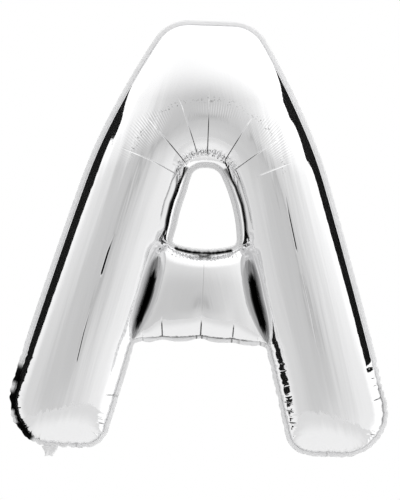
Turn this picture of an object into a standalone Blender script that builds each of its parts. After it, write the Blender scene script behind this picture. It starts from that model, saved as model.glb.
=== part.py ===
"""A letter A foil balloon: two silver films sealed to each other round the letter and round its counter.

The letter faces -Y and stands along Z. X = 0 is its plane of symmetry and Y = 0 the plane of its seals.
The origin is the middle of the air that the balloon displaces, which is where the air carries it.
"""

import math

import bmesh
import bpy
import numpy as np
from mathutils import Vector
from mathutils.geometry import delaunay_2d_cdt

# Driving sizes, in metres. Heights in the outline tables are above the soles of the feet.
LIFT_HEIGHT = 0.420
SEAL_WIDTH = 0.009
SEAL_THICKNESS = 0.0016
SEAL_LAP_THICKNESS = 0.0008
FILM_THICKNESS = 0.002
TOUCH_GAP = 0.0003

# The inflated outline's right half, from the top middle down the outside, round the foot and to the crotch.
# Columns: x, height, reach of the round at this corner, bow of the side that follows.
OUTLINE_TOP = (0.0, 0.863)
OUTLINE_CORNERS = (
    (0.088, 0.863, 0.044, 0.007),
    (0.2335, 0.587, 0.060, 0.004),
    (0.409, 0.000, 0.120, 0.000),
    (0.187, 0.000, 0.043, 0.000),
    (0.131, 0.215, 0.007, 0.000),
)
OUTLINE_BOTTOM = (0.0, 0.223)

# The counter's hole, right half, with the same columns.
COUNTER_TOP = (0.0, 0.569)
COUNTER_CORNERS = (
    (0.022, 0.569, 0.018, 0.010),
    (0.0664, 0.418, 0.010, 0.00275),
)
COUNTER_BOTTOM = (0.0, 0.407)

# The film's depth against that of half circles over the same outline, on the legs and on the crown. One turns
# into the other between the two heights.
LEG_FULLNESS = 0.85
CROWN_FULLNESS = 0.77
CROWN_START = 0.560
CROWN_END = 0.700

# The valley that the film folds into between each leg and the crossbar, from the counter's lower corner down
# to the crotch. It stands furthest off the seals' plane at its middle.
VALLEY = (
    (0.0755, 0.4120),
    (0.0880, 0.4040),
    (0.0940, 0.3710),
    (0.1080, 0.3100),
    (0.1240, 0.2600),
    (0.1375, 0.2245),
)
VALLEY_FLOOR = 0.010
VALLEY_STEP = 0.013

# The crossbar's film, which the legs pull into a flat panel that rounds off to its seals and its valleys.
CROSSBAR_DEPTH = 0.037
CROSSBAR_TOP_ROUND = 0.028
CROSSBAR_BOTTOM_ROUND = 0.058
CROSSBAR_SIDE_ROUND = 0.042

# The inflation neck, a short flat tongue at the foot on the letter's left. Its root follows the sole, which is
# looked up among the outline's points below the band and no further in than the reach.
NECK_X = -0.294
NECK_ROOT_WIDTH = 0.032
NECK_TIP_WIDTH = 0.016
NECK_LENGTH = 0.017
NECK_TIP_ROUND = 0.12
NECK_POINTS = 7
SOLE_BAND = 0.05
SOLE_REACH = 0.10
NECK_THICKNESS = 0.0012

# How finely the film is divided. The steps from the seal are shares of a tube's radius.
OUTLINE_STEP = 0.0235
COUNTER_STEP = 0.0175
LATTICE_STEP = 0.0275
TUBE_RADIUS = 0.085
RING_ANGLES = (12.0, 26.0, 44.0)
ROW_CLEARANCE = 0.98
LATTICE_CLEARANCE = 0.55

SIDE_POINTS = 60
ROUND_POINTS = 24

# The surface finishes. Columns: name, colour, roughness.
FINISHES = (
    ("foil", (0.80, 0.80, 0.81, 1.0), 0.08),
    ("sealed_foil", (0.72, 0.72, 0.73, 1.0), 0.18),
    ("neck_film", (0.85, 0.85, 0.86, 1.0), 0.25),
)
SHARP_ANGLE = 40.0


def clear_scene():
    """Removes every object of the open file."""
    for thing in list(bpy.data.objects):
        bpy.data.objects.remove(thing, do_unlink=True)


def metal(name, colour, roughness):
    """A bare metallised film."""
    material = bpy.data.materials.new(name)
    material.use_nodes = True
    shader = material.node_tree.nodes["Principled BSDF"]
    shader.inputs["Base Color"].default_value = colour
    shader.inputs["Metallic"].default_value = 1.0
    shader.inputs["Roughness"].default_value = roughness
    return material


def bowed_side(start, end, bow):
    """Points from start to end along a flat arc that bulges to the left of the way by bow."""
    start = np.array(start)
    end = np.array(end)
    share = np.linspace(0.0, 1.0, SIDE_POINTS)[:, None]
    along = end - start
    left = np.array((-along[1], along[0])) / np.hypot(*along)
    return start + along * share + left * bow * 4.0 * share * (1.0 - share)


def trimmed(points, from_start, from_end):
    """The polyline without its first and last stretch of the given lengths."""
    steps = np.hypot(*np.diff(points, axis=0).T)
    run = np.concatenate(([0.0], np.cumsum(steps)))
    kept = np.linspace(from_start, run[-1] - from_end, len(points))
    return np.column_stack([np.interp(kept, run, points[:, axis]) for axis in (0, 1)])


def corner_round(before, after):
    """A round from the end of one side to the start of the next, close to a circle's arc."""
    start = before[-1]
    end = after[0]
    way_in = before[-1] - before[-2]
    way_out = after[1] - after[0]
    way_in /= np.hypot(*way_in)
    way_out /= np.hypot(*way_out)
    turn = math.acos(float(np.clip(way_in @ way_out, -1.0, 1.0)))
    radius = np.hypot(*(end - start)) / (2.0 * math.sin(turn / 2.0))
    handle = 4.0 / 3.0 * math.tan(turn / 4.0) * radius
    share = np.linspace(0.0, 1.0, ROUND_POINTS)[1:-1, None]
    rest = 1.0 - share
    return (
        rest**3 * start
        + 3.0 * rest**2 * share * (start + way_in * handle)
        + 3.0 * rest * share**2 * (end - way_out * handle)
        + share**3 * end
    )


def half_outline(top, corners, bottom):
    """One half of a closed outline, as a fine polyline from its top to its bottom on the middle line."""
    places = [top] + [row[:2] for row in corners] + [bottom]
    reaches = [0.0] + [row[2] for row in corners] + [0.0]
    bows = [0.0] + [row[3] for row in corners]
    sides = []
    for index, bow in enumerate(bows):
        side = bowed_side(places[index], places[index + 1], bow)
        sides.append(trimmed(side, reaches[index], reaches[index + 1]))
    points = [sides[0]]
    for before, after in zip(sides, sides[1:]):
        points.append(corner_round(before, after))
        points.append(after)
    return np.concatenate(points)


def closed_outline(half, step):
    """The whole outline with evenly spaced points, clockwise as the letter is read."""
    steps = np.hypot(*np.diff(half, axis=0).T)
    run = np.concatenate(([0.0], np.cumsum(steps)))
    count = int(round(run[-1] / step))
    even = np.linspace(0.0, run[-1], count + 1)
    right = np.column_stack([np.interp(even, run, half[:, axis]) for axis in (0, 1)])
    left = right[-2:0:-1] * np.array((-1.0, 1.0))
    return np.concatenate((right, left))


def outward(loop):
    """The unit normal at each point of a clockwise loop, out of what it encloses."""
    along = np.roll(loop, -1, axis=0) - np.roll(loop, 1, axis=0)
    normal = np.column_stack((-along[:, 1], along[:, 0]))
    return normal / np.hypot(*normal.T)[:, None]


def inside(points, loop):
    """Whether each point is inside the loop, by counting crossings."""
    found = np.zeros(len(points), bool)
    ahead = np.roll(loop, -1, axis=0)
    for (x0, z0), (x1, z1) in zip(loop, ahead):
        spans = (z0 > points[:, 1]) != (z1 > points[:, 1])
        if z0 == z1:
            continue
        crossing = x0 + (points[:, 1] - z0) * (x1 - x0) / (z1 - z0)
        found ^= spans & (points[:, 0] < crossing)
    return found


def distance_to(points, line, closed=True):
    """The distance from each point to the nearest side of a loop, or of an open line."""
    nearest = np.full(len(points), np.inf)
    sides = list(zip(line, np.roll(line, -1, axis=0)))
    for start, end in sides if closed else sides[:-1]:
        along = end - start
        share = np.clip((points - start) @ along / (along @ along), 0.0, 1.0)
        offset = points - start - share[:, None] * along
        nearest = np.minimum(nearest, np.hypot(*offset.T))
    return nearest


def lattice(lowest, highest, step):
    """An even triangular lattice over a box, the same on both sides of X = 0."""
    row_step = step * math.sqrt(3.0) / 2.0
    rows = []
    for row, height in enumerate(np.arange(lowest[1], highest[1], row_step)):
        shift = 0.5 * step * (row % 2)
        across = np.arange(shift, highest[0], step)
        across = np.concatenate((-across[::-1], across[across > 0.0] if shift == 0.0 else across))
        rows.append(np.column_stack((across, np.full(len(across), height))))
    return np.concatenate(rows)


def valley_lines(outer, inner):
    """The two valleys, right then left, with even steps and both ends on points of the seals."""
    right = np.array(VALLEY)
    right[0] = inner[np.hypot(*(inner - right[0]).T).argmin()]
    right[-1] = outer[np.hypot(*(outer - right[-1]).T).argmin()]
    run = np.concatenate(([0.0], np.cumsum(np.hypot(*np.diff(right, axis=0).T))))
    even = np.linspace(0.0, run[-1], int(round(run[-1] / VALLEY_STEP)) + 1)
    right = np.column_stack([np.interp(even, run, right[:, axis]) for axis in (0, 1)])
    return right, right * np.array((-1.0, 1.0))


def film_plan(outer, inner, valleys):
    """The film's flat plan: points, triangles, and how many points lie on the outer seal, the inner seal and
    each valley between its ends. The held points come first."""
    folds = [line[1:-1] for line in valleys]
    held = [outer, inner] + folds

    def clearance(points):
        from_seals = np.minimum(distance_to(points, outer), distance_to(points, inner))
        from_folds = np.minimum(*(distance_to(points, line, closed=False) for line in valleys))
        return np.minimum(from_seals, from_folds)

    rows = []
    for angle in RING_ANGLES:
        depth = TUBE_RADIUS * (1.0 - math.cos(math.radians(angle)))
        row = [outer - outward(outer) * depth, inner + outward(inner) * depth]
        for line in valleys:
            along = line[2:] - line[:-2]
            across = np.column_stack((-along[:, 1], along[:, 0])) / np.hypot(*along.T)[:, None]
            row += [line[1:-1] + across * depth, line[1:-1] - across * depth]
        row = np.concatenate(row)
        row = row[inside(row, outer) & ~inside(row, inner)]
        rows.append(row[clearance(row) > ROW_CLEARANCE * depth])
    field = lattice(outer.min(axis=0), outer.max(axis=0), LATTICE_STEP)
    field = field[inside(field, outer) & ~inside(field, inner)]
    field = field[clearance(field) > depth + LATTICE_CLEARANCE * LATTICE_STEP]
    points = np.concatenate(held + rows + [field])
    edges = []
    start = 0
    for count in (len(outer), len(inner)):
        edges += [(start + index, start + (index + 1) % count) for index in range(count)]
        start += count
    for line, fold in zip(valleys, folds):
        first = len(outer) + int(np.hypot(*(inner - line[0]).T).argmin())
        last = int(np.hypot(*(outer - line[-1]).T).argmin())
        chain = [first] + list(range(start, start + len(fold))) + [last]
        edges += list(zip(chain, chain[1:]))
        start += len(fold)
    merge_below = 1e-6
    flat = [Vector(point) for point in points]
    made = delaunay_2d_cdt(flat, edges, [], 0, merge_below)
    places = np.array([tuple(point) for point in made[0]])
    faces = np.array([tuple(face) for face in made[2]])
    middles = places[faces].mean(axis=1)
    faces = faces[inside(middles, outer) & ~inside(middles, inner)]
    corners = places[faces]
    first = corners[:, 1] - corners[:, 0]
    second = corners[:, 2] - corners[:, 0]
    turned = first[:, 0] * second[:, 1] - first[:, 1] * second[:, 0] < 0.0
    faces[turned] = faces[turned][:, ::-1]
    return places, faces, [len(part) for part in held]


def membrane(places, faces, edge_sags):
    """The sag of a membrane over the plan, whose first points are held at the given sags."""
    count = len(places)
    stiffness = np.zeros((count, count))
    load = np.zeros(count)
    corners = places[faces]
    for turn in range(3):
        tip, left, right = (faces[:, (turn + step) % 3] for step in range(3))
        to_left = corners[:, (turn + 1) % 3] - corners[:, turn]
        to_right = corners[:, (turn + 2) % 3] - corners[:, turn]
        twice_area = np.abs(to_left[:, 0] * to_right[:, 1] - to_left[:, 1] * to_right[:, 0])
        weight = 0.5 * (to_left * to_right).sum(axis=1) / twice_area
        np.add.at(stiffness, (left, right), -weight)
        np.add.at(stiffness, (right, left), -weight)
        np.add.at(stiffness, (left, left), weight)
        np.add.at(stiffness, (right, right), weight)
        np.add.at(load, tip, twice_area / 6.0)
    held = len(edge_sags)
    sag = np.zeros(count)
    sag[:held] = edge_sags
    pull = 2.0 * load[held:] - stiffness[held:, :held] @ edge_sags
    sag[held:] = np.linalg.solve(stiffness[held:, held:], pull)
    return np.maximum(sag, 0.0)


def smooth_step(values):
    """0 below 0, 1 above 1 and a smooth way between."""
    share = np.clip(values, 0.0, 1.0)
    return share * share * (3.0 - 2.0 * share)


def rounding(distance, reach):
    """0 at an edge and 1 beyond its reach, with a quarter round between."""
    return np.sqrt(1.0 - (1.0 - np.clip(distance / reach, 0.0, 1.0)) ** 2)


def film_depth(places, faces, counts, valleys):
    """How far the film stands off the seals' plane at each point of its plan. Where the film is a tube between
    two seals it is the root of a membrane's sag, which makes a half circle, and the fullness flattens that."""
    outer = places[:counts[0]]
    inner = places[counts[0]:counts[0] + counts[1]]
    floors = [np.zeros(counts[0] + counts[1])]
    for line in valleys:
        share = np.linspace(0.0, 1.0, len(line))[1:-1]
        floors.append(VALLEY_FLOOR * np.sqrt(4.0 * share * (1.0 - share)))
    floors = np.concatenate(floors)
    from_counter = distance_to(places, inner)
    crown = smooth_step((places[:, 1] - CROWN_START) / (CROWN_END - CROWN_START))
    fullness = LEG_FULLNESS + (CROWN_FULLNESS - LEG_FULLNESS) * crown
    held = len(floors)
    depth = fullness * np.sqrt(membrane(places, faces, (floors / fullness[:held]) ** 2))
    edge = np.interp(places[:, 1], valleys[0][::-1, 1], valleys[0][::-1, 0])
    crossbar = (np.abs(places[:, 0]) < edge) & (places[:, 1] < valleys[0][0, 1])
    crossbar[:held] = False
    from_valley = np.minimum(*(distance_to(places, line, closed=False) for line in valleys))
    panel = (CROSSBAR_DEPTH * rounding(from_counter, CROSSBAR_TOP_ROUND)
             * rounding(distance_to(places, outer), CROSSBAR_BOTTOM_ROUND))
    floor = np.minimum(VALLEY_FLOOR, panel)
    panel = floor + (panel - floor) * rounding(from_valley, CROSSBAR_SIDE_ROUND)
    return np.where(crossbar, panel, depth)


def add_mesh(name, points, faces, material):
    """A closed mesh as an object of the scene."""
    mesh = bpy.data.meshes.new(name)
    mesh.from_pydata([tuple(point) for point in points], [], faces)
    form = bmesh.new()
    form.from_mesh(mesh)
    bmesh.ops.recalc_face_normals(form, faces=form.faces)
    form.to_mesh(mesh)
    form.free()
    mesh.shade_smooth()
    mesh.set_sharp_from_angle(angle=math.radians(SHARP_ANGLE))
    mesh.materials.append(material)
    piece = bpy.data.objects.new(name, mesh)
    bpy.context.scene.collection.objects.link(piece)
    return piece


def film(name, side, plan, material):
    """One of the two films, dished away from the seals' plane. side is -1 for the front and 1 for the back."""
    places, faces, height, (outer_count, inner_count) = plan
    held = outer_count + inner_count
    rim = SEAL_THICKNESS / 2.0 + TOUCH_GAP
    skin = np.column_stack((places[:, 0], side * (rim + height), places[:, 1] - LIFT_HEIGHT))
    corners = skin[faces]
    face_normals = np.cross(corners[:, 1] - corners[:, 0], corners[:, 2] - corners[:, 0])
    normals = np.zeros_like(skin)
    for corner in range(3):
        np.add.at(normals, faces[:, corner], face_normals)
    normals *= np.sign(normals[:, 1:2]) * side
    rim_ways = np.concatenate((outward(places[:outer_count]), -outward(places[outer_count:held])))
    normals[:held] = np.column_stack((rim_ways[:, 0], np.zeros(held), rim_ways[:, 1]))
    normals /= np.linalg.norm(normals, axis=1)[:, None]
    lining = skin - normals * FILM_THICKNESS
    count = len(skin)
    solid = [tuple(face) for face in faces]
    solid += [tuple(corner + count for corner in reversed(face)) for face in faces]
    for start, length in ((0, outer_count), (outer_count, inner_count)):
        for index in range(length):
            this = start + index
            after = start + (index + 1) % length
            solid.append((this, after, after + count, this + count))
    return add_mesh(name, np.concatenate((skin, lining)), solid, material)


def seal(name, edge, way, material):
    """A flat band from an edge to the film's rim, and thinning out where it laps under the film."""
    rows = (
        (0.0, SEAL_THICKNESS),
        (SEAL_WIDTH - TOUCH_GAP, SEAL_THICKNESS),
        (SEAL_WIDTH + FILM_THICKNESS, SEAL_LAP_THICKNESS),
    )
    count = len(edge)
    last = len(rows) - 1
    layers = []
    for side in (-0.5, 0.5):
        for width, thickness in rows:
            loop = edge + way * width
            depth = np.full(count, side * thickness)
            layers.append(np.column_stack((loop[:, 0], depth, loop[:, 1] - LIFT_HEIGHT)))
    below = [(row, row + 1) for row in range(last)]
    above = [(row + last + 2, row + last + 1) for row in range(last)]
    pairs = below + above + [(last, 2 * last + 1), (last + 1, 0)]
    faces = []
    for index in range(count):
        after = (index + 1) % count
        for first, second in pairs:
            faces.append(tuple(layer * count + at for layer, at in (
                (first, index), (first, after), (second, after), (second, index))))
    return add_mesh(name, np.concatenate(layers), faces, material)


def neck(outline, material):
    """The inflation neck: a flat tongue that tapers down from the foot's seal."""
    low = outline[(outline[:, 1] < SOLE_BAND) & (outline[:, 0] < NECK_X + SOLE_REACH)]
    order = np.argsort(low[:, 0])
    across = np.linspace(-0.5, 0.5, NECK_POINTS)
    root_x = NECK_X + across * NECK_ROOT_WIDTH
    root_z = np.interp(root_x, low[order, 0], low[order, 1]) - TOUCH_GAP
    tip_x = NECK_X + across[::-1] * NECK_TIP_WIDTH
    sag = NECK_TIP_ROUND * NECK_LENGTH * (1.0 - (2.0 * across) ** 2)
    tip_z = -NECK_LENGTH * (1.0 - NECK_TIP_ROUND) - sag
    rim = np.column_stack((np.concatenate((root_x, tip_x)), np.concatenate((root_z, tip_z))))
    count = len(rim)
    points = []
    for depth in (-NECK_THICKNESS / 2.0, NECK_THICKNESS / 2.0):
        points += [(x, depth, z - LIFT_HEIGHT) for x, z in rim]
    faces = [tuple(range(count)), tuple(range(2 * count - 1, count - 1, -1))]
    for index in range(count):
        after = (index + 1) % count
        faces.append((index, after, after + count, index + count))
    return add_mesh("inflation_neck", points, faces, material)


def main():
    clear_scene()
    foil, sealed, neck_film = (metal(*finish) for finish in FINISHES)
    outline_half = half_outline(OUTLINE_TOP, OUTLINE_CORNERS, OUTLINE_BOTTOM)
    counter_half = half_outline(COUNTER_TOP, COUNTER_CORNERS, COUNTER_BOTTOM)
    outline = closed_outline(outline_half, OUTLINE_STEP)
    counter = closed_outline(counter_half, COUNTER_STEP)
    outer_seam = outline - outward(outline) * SEAL_WIDTH
    inner_seam = counter + outward(counter) * SEAL_WIDTH
    valleys = valley_lines(outer_seam, inner_seam)
    places, faces, counts = film_plan(outer_seam, inner_seam, valleys)
    plan = (places, faces, film_depth(places, faces, counts, valleys), counts[:2])
    film("front_film", -1.0, plan, foil)
    film("back_film", 1.0, plan, foil)
    seal("outer_seal", outline, -outward(outline), sealed)
    seal("counter_seal", counter, outward(counter), sealed)
    neck(outline, neck_film)


main()
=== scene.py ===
"""The looks of the letter A foil balloon. Its two films are membranes between the seams, folded, creased and
puckered as film that can't stretch is. A white studio with two black flags is mirrored in them."""

import math

import bpy
import numpy as np
from mathutils import Matrix, Vector
from mathutils.geometry import delaunay_2d_cdt


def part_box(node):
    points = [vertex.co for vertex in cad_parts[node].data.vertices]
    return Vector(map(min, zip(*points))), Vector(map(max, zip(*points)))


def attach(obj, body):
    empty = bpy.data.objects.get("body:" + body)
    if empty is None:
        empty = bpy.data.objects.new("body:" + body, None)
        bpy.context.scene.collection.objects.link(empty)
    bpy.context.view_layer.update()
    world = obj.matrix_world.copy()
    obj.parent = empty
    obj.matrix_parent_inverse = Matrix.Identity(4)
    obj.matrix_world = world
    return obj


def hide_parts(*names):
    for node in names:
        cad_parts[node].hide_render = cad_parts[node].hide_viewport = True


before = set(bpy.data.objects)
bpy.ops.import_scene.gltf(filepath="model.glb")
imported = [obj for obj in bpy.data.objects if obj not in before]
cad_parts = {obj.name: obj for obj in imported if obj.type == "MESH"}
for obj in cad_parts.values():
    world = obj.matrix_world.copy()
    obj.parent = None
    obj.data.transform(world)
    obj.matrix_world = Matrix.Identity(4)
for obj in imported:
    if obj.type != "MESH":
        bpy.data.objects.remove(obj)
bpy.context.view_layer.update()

# The inflated outline's right half, as the part has it, in metres. Heights are above the feet. Columns: x,
# height, reach of the round at this corner, bow of the side that follows.
LIFT_HEIGHT = 0.420
OUTLINE_TOP = (0.0, 0.863)
OUTLINE_CORNERS = (
    (0.088, 0.863, 0.044, 0.007),
    (0.2335, 0.587, 0.060, 0.004),
    (0.409, 0.000, 0.120, 0.000),
    (0.187, 0.000, 0.043, 0.000),
    (0.131, 0.215, 0.007, 0.000),
)
OUTLINE_BOTTOM = (0.0, 0.223)
COUNTER_TOP = (0.0, 0.569)
COUNTER_CORNERS = (
    (0.022, 0.569, 0.018, 0.010),
    (0.0664, 0.418, 0.010, 0.00275),
)
COUNTER_BOTTOM = (0.0, 0.407)
SEAL_WIDTH = 0.009
SIDE_POINTS = 60
ROUND_POINTS = 24

# The film's form, as the part has it: how full its tubes are, the valleys beside the crossbar, and the flat
# panel that the crossbar is pulled into.
LEG_FULLNESS = 0.85
CROWN_FULLNESS = 0.77
CROWN_START = 0.560
CROWN_END = 0.700
VALLEY = (
    (0.0755, 0.4120),
    (0.0880, 0.4040),
    (0.0940, 0.3710),
    (0.1080, 0.3100),
    (0.1240, 0.2600),
    (0.1375, 0.2245),
)
VALLEY_FLOOR = 0.010
CROSSBAR_DEPTH = 0.037
CROSSBAR_TOP_ROUND = 0.028
CROSSBAR_BOTTOM_ROUND = 0.058
CROSSBAR_SIDE_ROUND = 0.042

# The slots that the valleys narrow to, their colour painted black as shade in an almond's shape with a
# painted grey shade round it, which open and close at these shares of the line.
SLOT_WIDTH = 0.0100
SLOT_SHARE = 0.75
SLOT_ENDS = 0.05
SLOT_BLACK = 0.0034
SLOT_OPENS = (0.10, 0.40, 1.08, 0.45)
SLOT_FADE = 0.0009
SLOT_LEAST_CORE = 0.002
SLOT_SHADE = 0.42
SLOT_SHADE_LEG = 0.0150
SLOT_SHADE_BAR = 0.0085
SLOT_SHADE_OPENS = (0.06, 0.20)

# The pinches that make the crossbar's lower edge swell between its creases, and how its dome falls off
# sideways and up and down.
CROSSBAR_PINCHES = (-0.077, 0.000, 0.065)
PINCH_WIDTH = 0.012
PINCH_SHARE = 0.35
PINCH_REACH = 0.020
CROSSBAR_MIDDLE = 0.296
CROSSBAR_DOME = (1.45, 1.10)

# The lines beside the counter's ring. Places are x and height.
LEFT_OF_RING = ((-0.036, 0.570), (-0.061, 0.533), (-0.0755, 0.496), (-0.0825, 0.462), (-0.084, 0.428))
RIGHT_OF_RING = ((0.036, 0.570), (0.061, 0.533), (0.0755, 0.496), (0.0825, 0.462), (0.0860, 0.428))

# Creases finer than the mesh, which is drawn along them. Columns: the line's points, depth, half width, the
# shares of the line over which it fades in and out, how black its colour is painted as shade in the crease,
# and over what share of the line.
# One of negative depth is a ridge.
CREASES = (
    (((-0.050, 0.548), (-0.110, 0.578), (-0.174, 0.603)), 0.0014, 0.0012, 0.10, 0.50, 0.35, 0.50),
    (((-0.038, 0.572), (-0.130, 0.673)), 0.0022, 0.0012, 0.08, 0.55, 0.75, 0.55),
    (((-0.018, 0.592), (-0.052, 0.686), (-0.063, 0.709)), 0.0018, 0.0011, 0.08, 0.55, 0.70, 0.50),
    (((0.001, 0.590), (0.001, 0.728)), 0.0020, 0.0011, 0.08, 0.55, 0.85, 0.70),
    (((0.034, 0.580), (0.092, 0.678)), 0.0018, 0.0011, 0.08, 0.50, 0.80, 0.65),
    (((0.052, 0.562), (0.156, 0.640)), 0.0016, 0.0012, 0.08, 0.50, 0.60, 0.55),
    (((0.098, 0.552), (0.170, 0.584)), 0.0008, 0.0012, 0.20, 0.50, 0.10, 0.50),
    (((-0.076, 0.228), (-0.079, 0.272)), 0.0030, 0.0013, 0.02, 0.50, 0.85, 0.90),
    (((0.000, 0.228), (0.001, 0.276)), 0.0030, 0.0014, 0.02, 0.50, 0.90, 0.90),
    (((0.064, 0.228), (0.066, 0.270)), 0.0030, 0.0013, 0.02, 0.50, 0.80, 0.80),
    (((0.001, 0.278), (0.002, 0.388)), 0.0001, 0.0012, 0.20, 0.20, 0.20, 1.00),
    (((-0.174, 0.434), (-0.187, 0.395), (-0.200, 0.346)), 0.0030, 0.0023, 0.60, 0.10, 1.00, 1.00),
    (((0.155, 0.525), (0.168, 0.470), (0.184, 0.405)), 0.0020, 0.0015, 0.60, 0.12, 0.90, 1.00),
    (((0.192, 0.376), (0.214, 0.290), (0.232, 0.210)), 0.0007, 0.0010, 0.40, 0.50, 0.40, 1.00),
    (((-0.215, 0.292), (-0.229, 0.235), (-0.241, 0.176)), 0.0013, 0.0012, 0.60, 0.05, 0.85, 1.00),
    (((-0.058, 0.4065), (-0.030, 0.4000), (0.000, 0.3925), (0.030, 0.4005), (0.060, 0.4065)),
     0.0004, 0.0058, 0.04, 0.04, 1.00, 1.00),
    (LEFT_OF_RING, -0.0032, 0.0100, 0.35, 0.15, 0.00, 1.00),
    (LEFT_OF_RING, 0.0002, 0.0034, 0.04, 0.03, 1.00, 1.00),
    (RIGHT_OF_RING, -0.0032, 0.0100, 0.35, 0.15, 0.00, 1.00),
    (RIGHT_OF_RING, 0.0002, 0.0046, 0.04, 0.03, 1.00, 1.00),
    (((-0.046, 0.574), (-0.070, 0.538), (-0.0845, 0.498), (-0.0930, 0.455)),
     0.0007, 0.0012, 0.20, 0.20, 0.35, 1.00),
    (((0.046, 0.574), (0.070, 0.536), (0.0845, 0.496), (0.0950, 0.451)),
     0.0007, 0.0012, 0.20, 0.20, 0.35, 1.00),
)
# The short ones round the feet. Columns: start, end, half width, how black the shade painted in them is, the
# share that is black.
FOOT_CREASES = (
    ((-0.366, 0.077), (-0.348, 0.081), 0.0011, 0.80, 0.80),
    ((-0.350, 0.034), (-0.332, 0.044), 0.0011, 0.80, 0.80),
    ((-0.166, 0.109), (-0.184, 0.112), 0.0011, 0.80, 0.80),
    ((-0.184, 0.051), (-0.200, 0.057), 0.0011, 0.80, 0.80),
    ((0.370, 0.125), (0.342, 0.118), 0.0011, 0.80, 0.90),
    ((0.356, 0.048), (0.336, 0.053), 0.0011, 0.80, 0.80),
    ((0.170, 0.109), (0.188, 0.106), 0.0012, 0.90, 0.90),
    ((0.174, 0.092), (0.190, 0.090), 0.0012, 0.90, 0.90),
    ((0.180, 0.068), (0.199, 0.069), 0.0012, 0.90, 0.90),
)
FOOT_CREASE_DEPTH = 0.0016
FOOT_CREASE_FADES = (0.05, 0.50)
CREASES += tuple((row[:2], FOOT_CREASE_DEPTH, row[2], *FOOT_CREASE_FADES, *row[3:]) for row in FOOT_CREASES)

# The mesh's steps along a crease, the rows beside it in half widths, and how its painted black shade goes
# with its depth.
CREASE_STEP = 0.0045
CREASE_ROWS = (0.55, 1.0, 2.0)
BLACK_ALONG = 1.6
BLACK_ACROSS = 1.5
BLACK_FADE = 0.6

# The crumpled knots at the counter's lower corners. Columns: x, height, reach, how high they stand.
KNOTS = (
    (-0.089, 0.4130, 0.0075, 0.0022),
    (0.092, 0.4150, 0.0080, 0.0024),
    (-0.088, 0.3930, 0.0050, 0.0012),
    (0.091, 0.3930, 0.0050, 0.0012),
)
KNOT_WAVES = (0.0017, 0.0021)
LIFT_FADE = 0.0015

# The counter's left side is drawn in a little against the part's, about this height.
COUNTER_LEAN = 0.0085
LEAN_HEIGHT = 0.485
LEAN_SPAN = 0.090
LEAN_FADE = 0.065
LEAN_REACH = 0.03

# How finely the film is divided. The rows beside the seams and valleys are at these angles of a round tube.
OUTLINE_STEP = 0.0050
COUNTER_STEP = 0.0036
VALLEY_STEP = 0.0050
LATTICE_STEP = 0.0072
TUBE_RADIUS = 0.09
ROW_ANGLES = (4.0, 8.0, 13.0, 19.0, 27.0, 37.0)
ROW_CLEARANCE = 0.98
LATTICE_CLEARANCE = 0.45
SOLVER_STEPS = 2500
SOLVER_END = 1e-7

# Where the seams pucker. Columns: x, height, reach, how far a pleat draws the seam in, its depth in the film.
PUCKERS = (
    (-0.350, 0.100, 0.110, 0.0020, 0.0014),
    (0.350, 0.110, 0.110, 0.0018, 0.0012),
    (-0.300, 0.000, 0.120, 0.0018, 0.0012),
    (0.300, 0.000, 0.120, 0.0018, 0.0012),
    (-0.190, 0.070, 0.080, 0.0012, 0.0012),
    (0.180, 0.110, 0.090, 0.0012, 0.0014),
    (-0.150, 0.862, 0.070, 0.0010, 0.0010),
    (0.150, 0.862, 0.070, 0.0010, 0.0010),
    (-0.125, 0.205, 0.035, 0.0014, 0.0016),
    (0.130, 0.195, 0.050, 0.0016, 0.0020),
)
PUCKER_FADE = 0.35

# The pleats in the puckered places. Their widths and strengths vary between these shares.
PLEAT_SPACING = (0.007, 0.021)
PLEAT_WIDTH = 0.0034
PLEAT_WIDTHS = (0.8, 1.3)
PLEAT_STRENGTHS = (0.35, 1.0)
PLEAT_REACH = 0.009
SCALLOP_REACH = 0.012

# Painted shade: where the film is coloured black beside the seams, as shade of folds that the mesh doesn't
# have. Columns: x, height, reach, width, how black.
SEAM_PAINTED_SHADE = (
    (0.000, 0.222, 0.112, 0.0018, 0.75),
    (-0.378, 0.085, 0.070, 0.0085, 1.00),
    (-0.362, 0.030, 0.040, 0.0070, 1.00),
    (0.376, 0.112, 0.050, 0.0036, 0.60),
)
# The same painted shade on the outer seal. Columns: x, height, reach, how black.
SEAL_PAINTED_SHADE = (
    (-0.385, 0.098, 0.078, 1.00),
    (-0.362, 0.030, 0.040, 1.00),
)
# The painted black has a jagged edge, with teeth where it is blackest.
PAINTED_SHADE_ENDS = 0.25
PAINTED_SHADE_EDGE = 0.0012
JAG_DEPTH = 0.0011
JAG_WAVES = (0.0031, 0.0107, 0.0013)
TOOTH_DEPTH = 0.0024
TOOTH_WAVE = 0.0011
TOOTH_BLACK = 0.9

# The notches where creases reach the seam. Columns: x, height, reach along the seam, how far it is drawn in.
NOTCHES = (
    (-0.076, 0.222, 0.010, 0.0034),
    (0.000, 0.222, 0.011, 0.0040),
    (0.064, 0.222, 0.010, 0.0034),
    (-0.364, 0.150, 0.006, 0.0030),
    (-0.366, 0.084, 0.007, 0.0035),
    (-0.345, 0.037, 0.007, 0.0035),
    (-0.174, 0.110, 0.005, 0.0025),
    (-0.186, 0.050, 0.005, 0.0025),
    (0.352, 0.125, 0.006, 0.0030),
    (0.346, 0.045, 0.007, 0.0030),
    (0.186, 0.106, 0.005, 0.0025),
    (0.190, 0.070, 0.005, 0.0025),
)

# The long soft streaks down the legs. Columns: width of one wave, how high it stands.
STREAKS = ((0.041, 0.00050), (0.023, 0.00030), (0.012, 0.00014))
STREAK_WAVES = 3
STREAK_WIDTHS = (0.75, 1.35)
STREAK_START = 0.060
STREAK_EDGE = 0.035
RIGHT_PHASE = 2.3
LEG_LEAN = 14.5

# The material's own streaks: width and length, height, and how far from a seam and over what they begin.
STREAK_GRAIN = (0.0095, 0.22)
STREAK_HEIGHT = 0.00080
CALM_FROM = 0.022
CALM_OVER = 0.035

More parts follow.
